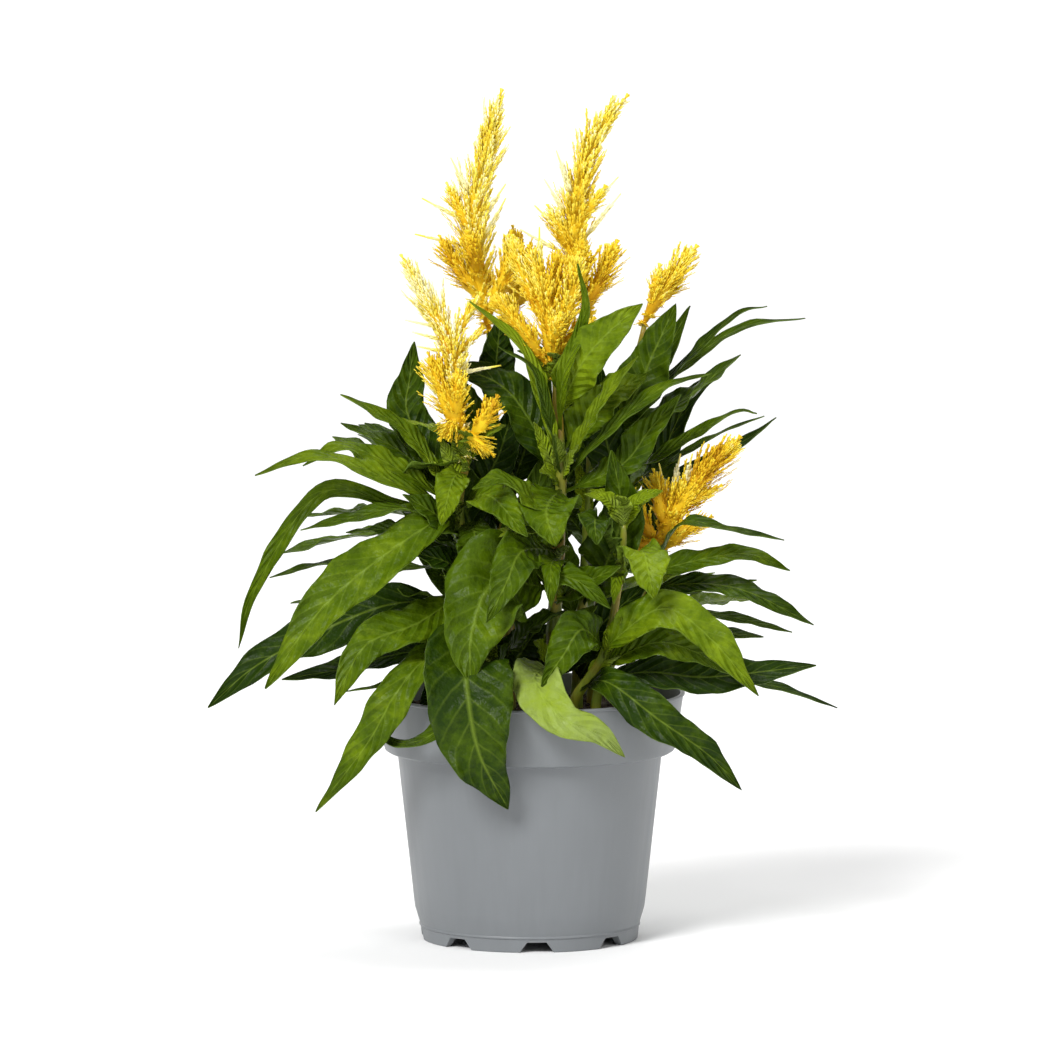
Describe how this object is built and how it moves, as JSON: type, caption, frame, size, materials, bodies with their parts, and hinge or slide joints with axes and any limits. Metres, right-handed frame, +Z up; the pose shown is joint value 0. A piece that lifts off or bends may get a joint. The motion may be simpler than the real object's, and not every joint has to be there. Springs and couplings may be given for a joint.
{
  "type": "plume celosia in a nursery pot",
  "caption": "Potted plume celosia: waved lance-shaped leaves on branching stems, feathery yellow plumes, and a round plastic nursery pot filled with soil.",
  "frame": {"origin": "middle of the plant's outline seen from above, on the surface that the pot stands on; the pot's own axis is 2 mm to +X and 18 mm to -Y of it", "axes": "+Z up along the pot's axis, -Y towards the viewer of the picture, +X to the viewer's right"},
  "size_m": [0.264, 0.196, 0.3545],
  "materials": {
    "pot_plastic": "satin",
    "soil": "matte",
    "leaf_green": "satin",
    "plume_yellow": "matte"
  },
  "bodies": {
    "root": {"pot": "pot_plastic", "soil": "soil", "leafy_stem_centre": "leaf_green", "leafy_stem_left": "leaf_green", "leafy_stem_left_tall": "leaf_green", "leafy_stem_right_tall": "leaf_green", "leafy_stem_right": "leaf_green", "leafy_stem_right_front": "leaf_green", "leafy_stem_right_back": "leaf_green", "leafy_stem_back": "leaf_green", "plume_centre": "plume_yellow", "plume_left": "plume_yellow", "plume_left_tall": "plume_yellow", "plume_right_tall": "plume_yellow", "plume_right": "plume_yellow", "plume_right_back": "plume_yellow", "plume_back": "plume_yellow"}
  },
  "joints": []
}
